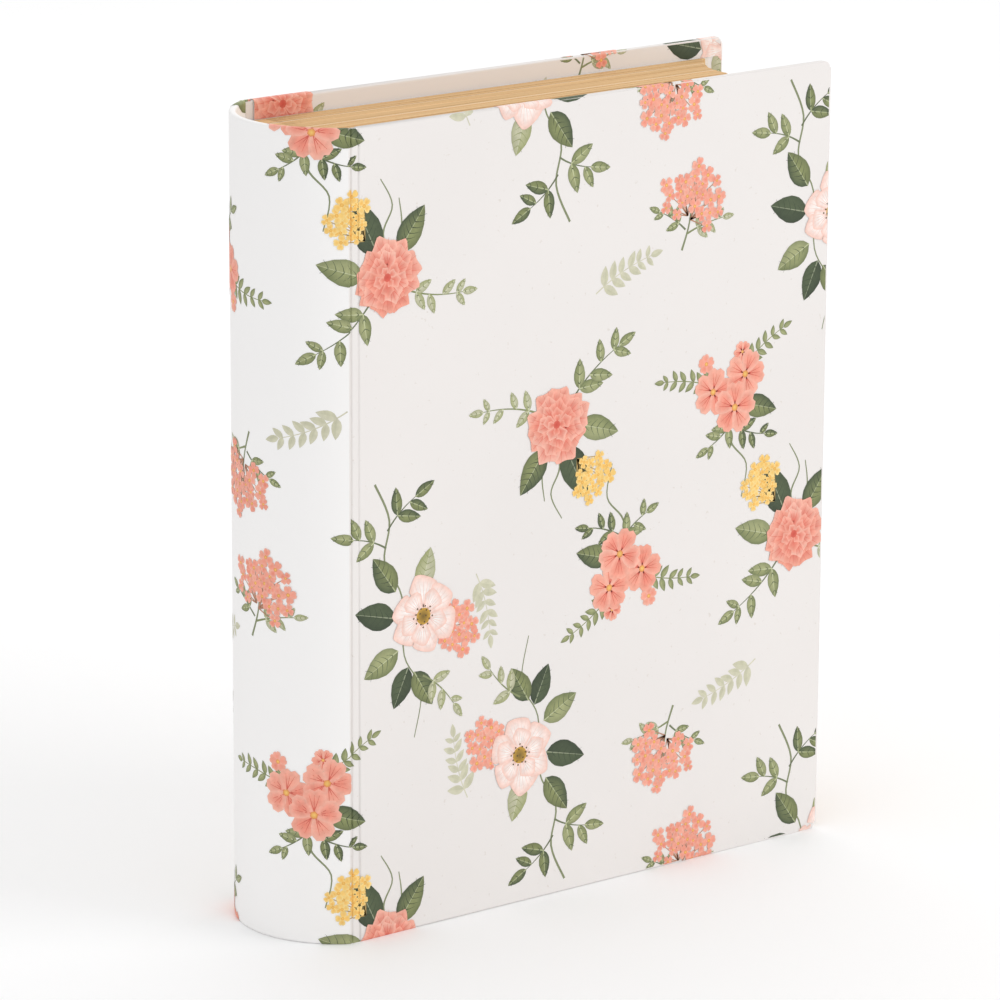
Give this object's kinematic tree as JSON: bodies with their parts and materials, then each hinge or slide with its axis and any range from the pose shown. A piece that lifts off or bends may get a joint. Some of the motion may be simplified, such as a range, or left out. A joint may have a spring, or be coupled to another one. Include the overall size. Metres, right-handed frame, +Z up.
{
  "type": "scrapbook album",
  "caption": "Closed hardcover scrapbook album with a rounded spine, floral printed covers and a block of kraft card leaves with a hollow fore-edge.",
  "frame": {"origin": "centre of the foot of the closed album's bounding box, where it stands on its tail edge", "axes": "+Z up to the head, -X to the spine, +X to the fore-edge, -Y out of the front cover"},
  "size_m": [0.25, 0.068, 0.31],
  "materials": {
    "printed_paper": "matte",
    "greyboard": "matte",
    "endpaper": "matte",
    "kraft_card": "matte",
    "divider_paper": "matte",
    "mull": "matte"
  },
  "bodies": {
    "spine": {"spine_cover_paper": "printed_paper", "spine_board": "greyboard", "spine_mull": "mull", "gathering_guard_1": "kraft_card", "gathering_guard_2": "kraft_card", "gathering_guard_3": "kraft_card", "gathering_guard_4": "kraft_card", "gathering_guard_5": "kraft_card"},
    "front_cover": {"front_cover_paper": "printed_paper", "front_board": "greyboard", "front_pastedown": "endpaper"},
    "rear_cover": {"rear_cover_paper": "printed_paper", "rear_board": "greyboard", "rear_pastedown": "endpaper"},
    "leaf_18_sheet": {"leaf_18": "kraft_card"},
    "leaf_17_sheet": {"leaf_17": "kraft_card"},
    "leaf_16_sheet": {"leaf_16": "kraft_card"},
    "divider_2_sheet": {"divider_2": "divider_paper"},
    "leaf_15_sheet": {"leaf_15": "kraft_card"},
    "leaf_14_sheet": {"leaf_14": "kraft_card"},
    "leaf_13_sheet": {"leaf_13": "kraft_card"},
    "leaf_12_sheet": {"leaf_12": "kraft_card"},
    "leaf_11_sheet": {"leaf_11": "kraft_card"},
    "leaf_10_sheet": {"leaf_10": "kraft_card"},
    "leaf_09_sheet": {"leaf_09": "kraft_card"},
    "leaf_08_sheet": {"leaf_08": "kraft_card"},
    "divider_1_sheet": {"divider_1": "divider_paper"},
    "leaf_07_sheet": {"leaf_07": "kraft_card"},
    "leaf_06_sheet": {"leaf_06": "kraft_card"},
    "leaf_05_sheet": {"leaf_05": "kraft_card"},
    "leaf_04_sheet": {"leaf_04": "kraft_card"},
    "leaf_03_sheet": {"leaf_03": "kraft_card"},
    "leaf_02_sheet": {"leaf_02": "kraft_card"},
    "leaf_01_sheet": {"leaf_01": "kraft_card"},
    "front_flyleaf_sheet": {"front_flyleaf": "endpaper"},
    "leaf_19_sheet": {"leaf_19": "kraft_card"},
    "leaf_20_sheet": {"leaf_20": "kraft_card"},
    "leaf_21_sheet": {"leaf_21": "kraft_card"},
    "leaf_22_sheet": {"leaf_22": "kraft_card"},
    "leaf_23_sheet": {"leaf_23": "kraft_card"},
    "divider_3_sheet": {"divider_3": "divider_paper"},
    "leaf_24_sheet": {"leaf_24": "kraft_card"},
    "leaf_25_sheet": {"leaf_25": "kraft_card"},
    "leaf_26_sheet": {"leaf_26": "kraft_card"},
    "leaf_27_sheet": {"leaf_27": "kraft_card"},
    "leaf_28_sheet": {"leaf_28": "kraft_card"},
    "leaf_29_sheet": {"leaf_29": "kraft_card"},
    "leaf_30_sheet": {"leaf_30": "kraft_card"},
    "leaf_31_sheet": {"leaf_31": "kraft_card"},
    "divider_4_sheet": {"divider_4": "divider_paper"},
    "leaf_32_sheet": {"leaf_32": "kraft_card"},
    "leaf_33_sheet": {"leaf_33": "kraft_card"},
    "leaf_34_sheet": {"leaf_34": "kraft_card"},
    "leaf_35_sheet": {"leaf_35": "kraft_card"},
    "leaf_36_sheet": {"leaf_36": "kraft_card"},
    "rear_flyleaf_sheet": {"rear_flyleaf": "endpaper"}
  },
  "joints": [
    {"name": "front_cover_hinge", "type": "hinge", "parent": "spine", "child": "front_cover", "pos_m": [-0.1024, -0.0342, 0], "axis": [0, 0, -1], "range_deg": [0, 179]},
    {"name": "rear_cover_hinge", "type": "hinge", "parent": "spine", "child": "rear_cover", "pos_m": [-0.1024, 0.0342, 0], "axis": [0, 0, 1], "range_deg": [0, 179]},
    {"name": "leaf_18_turn", "type": "hinge", "parent": "spine", "child": "leaf_18_sheet", "pos_m": [-0.096, -0.0008, 0], "axis": [0, 0, -1], "range_deg": [0, 3.86]},
    {"name": "leaf_17_turn", "type": "hinge", "parent": "spine", "child": "leaf_17_sheet", "pos_m": [-0.096, -0.0024, 0], "axis": [0, 0, -1], "range_deg": [0, 7.67]},
    {"name": "leaf_16_turn", "type": "hinge", "parent": "spine", "child": "leaf_16_sheet", "pos_m": [-0.096, -0.004, 0], "axis": [0, 0, -1], "range_deg": [0, 11.48]},
    {"name": "divider_2_turn", "type": "hinge", "parent": "spine", "child": "divider_2_sheet", "pos_m": [-0.096, -0.00513, 0], "axis": [0, 0, -1], "range_deg": [0, 15.29]},
    {"name": "leaf_15_turn", "type": "hinge", "parent": "spine", "child": "leaf_15_sheet", "pos_m": [-0.096, -0.00625, 0], "axis": [0, 0, -1], "range_deg": [0, 19.1]},
    {"name": "leaf_14_turn", "type": "hinge", "parent": "spine", "child": "leaf_14_sheet", "pos_m": [-0.096, -0.00785, 0], "axis": [0, 0, -1], "range_deg": [0, 22.91]},
    {"name": "leaf_13_turn", "type": "hinge", "parent": "spine", "child": "leaf_13_sheet", "pos_m": [-0.096, -0.00945, 0], "axis": [0, 0, -1], "range_deg": [0, 26.72]},
    {"name": "leaf_12_turn", "type": "hinge", "parent": "spine", "child": "leaf_12_sheet", "pos_m": [-0.096, -0.01105, 0], "axis": [0, 0, -1], "range_deg": [0, 30.53]},
    {"name": "leaf_11_turn", "type": "hinge", "parent": "spine", "child": "leaf_11_sheet", "pos_m": [-0.096, -0.01265, 0], "axis": [0, 0, -1], "range_deg": [0, 34.34]},
    {"name": "leaf_10_turn", "type": "hinge", "parent": "spine", "child": "leaf_10_sheet", "pos_m": [-0.096, -0.01425, 0], "axis": [0, 0, -1], "range_deg": [0, 38.15]},
    {"name": "leaf_09_turn", "type": "hinge", "parent": "spine", "child": "leaf_09_sheet", "pos_m": [-0.096, -0.01585, 0], "axis": [0, 0, -1], "range_deg": [0, 41.95]},
    {"name": "leaf_08_turn", "type": "hinge", "parent": "spine", "child": "leaf_08_sheet", "pos_m": [-0.096, -0.01745, 0], "axis": [0, 0, -1], "range_deg": [0, 45.76]},
    {"name": "divider_1_turn", "type": "hinge", "parent": "spine", "child": "divider_1_sheet", "pos_m": [-0.096, -0.01858, 0], "axis": [0, 0, -1], "range_deg": [0, 49.57]},
    {"name": "leaf_07_turn", "type": "hinge", "parent": "spine", "child": "leaf_07_sheet", "pos_m": [-0.096, -0.0197, 0], "axis": [0, 0, -1], "range_deg": [0, 53.38]},
    {"name": "leaf_06_turn", "type": "hinge", "parent": "spine", "child": "leaf_06_sheet", "pos_m": [-0.096, -0.0213, 0], "axis": [0, 0, -1], "range_deg": [0, 57.19]},
    {"name": "leaf_05_turn", "type": "hinge", "parent": "spine", "child": "leaf_05_sheet", "pos_m": [-0.096, -0.0229, 0], "axis": [0, 0, -1], "range_deg": [0, 61]},
    {"name": "leaf_04_turn", "type": "hinge", "parent": "spine", "child": "leaf_04_sheet", "pos_m": [-0.096, -0.0245, 0], "axis": [0, 0, -1], "range_deg": [0, 64.81]},
    {"name": "leaf_03_turn", "type": "hinge", "parent": "spine", "child": "leaf_03_sheet", "pos_m": [-0.096, -0.0261, 0], "axis": [0, 0, -1], "range_deg": [0, 68.62]},
    {"name": "leaf_02_turn", "type": "hinge", "parent": "spine", "child": "leaf_02_sheet", "pos_m": [-0.096, -0.0277, 0], "axis": [0, 0, -1], "range_deg": [0, 72.43]},
    {"name": "leaf_01_turn", "type": "hinge", "parent": "spine", "child": "leaf_01_sheet", "pos_m": [-0.096, -0.0293, 0], "axis": [0, 0, -1], "range_deg": [0, 76.24]},
    {"name": "front_flyleaf_turn", "type": "hinge", "parent": "spine", "child": "front_flyleaf_sheet", "pos_m": [-0.096, -0.0304, 0], "axis": [0, 0, -1], "range_deg": [0, 80.05]},
    {"name": "leaf_19_turn", "type": "hinge", "parent": "spine", "child": "leaf_19_sheet", "pos_m": [-0.096, 0.0008, 0], "axis": [0, 0, 1], "range_deg": [0, 3.86]},
    {"name": "leaf_20_turn", "type": "hinge", "parent": "spine", "child": "leaf_20_sheet", "pos_m": [-0.096, 0.0024, 0], "axis": [0, 0, 1], "range_deg": [0, 7.67]},
    {"name": "leaf_21_turn", "type": "hinge", "parent": "spine", "child": "leaf_21_sheet", "pos_m": [-0.096, 0.004, 0], "axis": [0, 0, 1], "range_deg": [0, 11.48]},
    {"name": "leaf_22_turn", "type": "hinge", "parent": "spine", "child": "leaf_22_sheet", "pos_m": [-0.096, 0.0056, 0], "axis": [0, 0, 1], "range_deg": [0, 15.29]},
    {"name": "leaf_23_turn", "type": "hinge", "parent": "spine", "child": "leaf_23_sheet", "pos_m": [-0.096, 0.0072, 0], "axis": [0, 0, 1], "range_deg": [0, 19.1]},
    {"name": "divider_3_turn", "type": "hinge", "parent": "spine", "child": "divider_3_sheet", "pos_m": [-0.096, 0.00833, 0], "axis": [0, 0, 1], "range_deg": [0, 22.91]},
    {"name": "leaf_24_turn", "type": "hinge", "parent": "spine", "child": "leaf_24_sheet", "pos_m": [-0.096, 0.00945, 0], "axis": [0, 0, 1], "range_deg": [0, 26.72]},
    {"name": "leaf_25_turn", "type": "hinge", "parent": "spine", "child": "leaf_25_sheet", "pos_m": [-0.096, 0.01105, 0], "axis": [0, 0, 1], "range_deg": [0, 30.53]},
    {"name": "leaf_26_turn", "type": "hinge", "parent": "spine", "child": "leaf_26_sheet", "pos_m": [-0.096, 0.01265, 0], "axis": [0, 0, 1], "range_deg": [0, 34.34]},
    {"name": "leaf_27_turn", "type": "hinge", "parent": "spine", "child": "leaf_27_sheet", "pos_m": [-0.096, 0.01425, 0], "axis": [0, 0, 1], "range_deg": [0, 38.15]},
    {"name": "leaf_28_turn", "type": "hinge", "parent": "spine", "child": "leaf_28_sheet", "pos_m": [-0.096, 0.01585, 0], "axis": [0, 0, 1], "range_deg": [0, 41.95]},
    {"name": "leaf_29_turn", "type": "hinge", "parent": "spine", "child": "leaf_29_sheet", "pos_m": [-0.096, 0.01745, 0], "axis": [0, 0, 1], "range_deg": [0, 45.76]},
    {"name": "leaf_30_turn", "type": "hinge", "parent": "spine", "child": "leaf_30_sheet", "pos_m": [-0.096, 0.01905, 0], "axis": [0, 0, 1], "range_deg": [0, 49.57]},
    {"name": "leaf_31_turn", "type": "hinge", "parent": "spine", "child": "leaf_31_sheet", "pos_m": [-0.096, 0.02065, 0], "axis": [0, 0, 1], "range_deg": [0, 53.38]},
    {"name": "divider_4_turn", "type": "hinge", "parent": "spine", "child": "divider_4_sheet", "pos_m": [-0.096, 0.02177, 0], "axis": [0, 0, 1], "range_deg": [0, 57.19]},
    {"name": "leaf_32_turn", "type": "hinge", "parent": "spine", "child": "leaf_32_sheet", "pos_m": [-0.096, 0.0229, 0], "axis": [0, 0, 1], "range_deg": [0, 61]},
    {"name": "leaf_33_turn", "type": "hinge", "parent": "spine", "child": "leaf_33_sheet", "pos_m": [-0.096, 0.0245, 0], "axis": [0, 0, 1], "range_deg": [0, 64.81]},
    {"name": "leaf_34_turn", "type": "hinge", "parent": "spine", "child": "leaf_34_sheet", "pos_m": [-0.096, 0.0261, 0], "axis": [0, 0, 1], "range_deg": [0, 68.62]},
    {"name": "leaf_35_turn", "type": "hinge", "parent": "spine", "child": "leaf_35_sheet", "pos_m": [-0.096, 0.0277, 0], "axis": [0, 0, 1], "range_deg": [0, 72.43]},
    {"name": "leaf_36_turn", "type": "hinge", "parent": "spine", "child": "leaf_36_sheet", "pos_m": [-0.096, 0.0293, 0], "axis": [0, 0, 1], "range_deg": [0, 76.24]},
    {"name": "rear_flyleaf_turn", "type": "hinge", "parent": "spine", "child": "rear_flyleaf_sheet", "pos_m": [-0.096, 0.0304, 0], "axis": [0, 0, 1], "range_deg": [0, 80.05]}
  ],
  "couplings": [
    {"joint": "leaf_18_turn", "follows": "front_cover_hinge", "ratio": 0.021285},
    {"joint": "leaf_17_turn", "follows": "front_cover_hinge", "ratio": 0.042564},
    {"joint": "leaf_16_turn", "follows": "front_cover_hinge", "ratio": 0.063849},
    {"joint": "divider_2_turn", "follows": "front_cover_hinge", "ratio": 0.085128},
    {"joint": "leaf_15_turn", "follows": "front_cover_hinge", "ratio": 0.10641},
    {"joint": "leaf_14_turn", "follows": "front_cover_hinge", "ratio": 0.12769},
    {"joint": "leaf_13_turn", "follows": "front_cover_hinge", "ratio": 0.14898},
    {"joint": "leaf_12_turn", "follows": "front_cover_hinge", "ratio": 0.17026},
    {"joint": "leaf_11_turn", "follows": "front_cover_hinge", "ratio": 0.19154},
    {"joint": "leaf_10_turn", "follows": "front_cover_hinge", "ratio": 0.21282},
    {"joint": "leaf_09_turn", "follows": "front_cover_hinge", "ratio": 0.23411},
    {"joint": "leaf_08_turn", "follows": "front_cover_hinge", "ratio": 0.25538},
    {"joint": "divider_1_turn", "follows": "front_cover_hinge", "ratio": 0.27667},
    {"joint": "leaf_07_turn", "follows": "front_cover_hinge", "ratio": 0.29795},
    {"joint": "leaf_06_turn", "follows": "front_cover_hinge", "ratio": 0.31923},
    {"joint": "leaf_05_turn", "follows": "front_cover_hinge", "ratio": 0.34051},
    {"joint": "leaf_04_turn", "follows": "front_cover_hinge", "ratio": 0.3618},
    {"joint": "leaf_03_turn", "follows": "front_cover_hinge", "ratio": 0.38308},
    {"joint": "leaf_02_turn", "follows": "front_cover_hinge", "ratio": 0.40436},
    {"joint": "leaf_01_turn", "follows": "front_cover_hinge", "ratio": 0.42564},
    {"joint": "front_flyleaf_turn", "follows": "front_cover_hinge", "ratio": 0.44693},
    {"joint": "leaf_19_turn", "follows": "rear_cover_hinge", "ratio": 0.021285},
    {"joint": "leaf_20_turn", "follows": "rear_cover_hinge", "ratio": 0.042564},
    {"joint": "leaf_21_turn", "follows": "rear_cover_hinge", "ratio": 0.063849},
    {"joint": "leaf_22_turn", "follows": "rear_cover_hinge", "ratio": 0.085128},
    {"joint": "leaf_23_turn", "follows": "rear_cover_hinge", "ratio": 0.10641},
    {"joint": "divider_3_turn", "follows": "rear_cover_hinge", "ratio": 0.12769},
    {"joint": "leaf_24_turn", "follows": "rear_cover_hinge", "ratio": 0.14898},
    {"joint": "leaf_25_turn", "follows": "rear_cover_hinge", "ratio": 0.17026},
    {"joint": "leaf_26_turn", "follows": "rear_cover_hinge", "ratio": 0.19154},
    {"joint": "leaf_27_turn", "follows": "rear_cover_hinge", "ratio": 0.21282},
    {"joint": "leaf_28_turn", "follows": "rear_cover_hinge", "ratio": 0.23411},
    {"joint": "leaf_29_turn", "follows": "rear_cover_hinge", "ratio": 0.25538},
    {"joint": "leaf_30_turn", "follows": "rear_cover_hinge", "ratio": 0.27667},
    {"joint": "leaf_31_turn", "follows": "rear_cover_hinge", "ratio": 0.29795},
    {"joint": "divider_4_turn", "follows": "rear_cover_hinge", "ratio": 0.31923},
    {"joint": "leaf_32_turn", "follows": "rear_cover_hinge", "ratio": 0.34051},
    {"joint": "leaf_33_turn", "follows": "rear_cover_hinge", "ratio": 0.3618},
    {"joint": "leaf_34_turn", "follows": "rear_cover_hinge", "ratio": 0.38308},
    {"joint": "leaf_35_turn", "follows": "rear_cover_hinge", "ratio": 0.40436},
    {"joint": "leaf_36_turn", "follows": "rear_cover_hinge", "ratio": 0.42564},
    {"joint": "rear_flyleaf_turn", "follows": "rear_cover_hinge", "ratio": 0.44693}
  ]
}
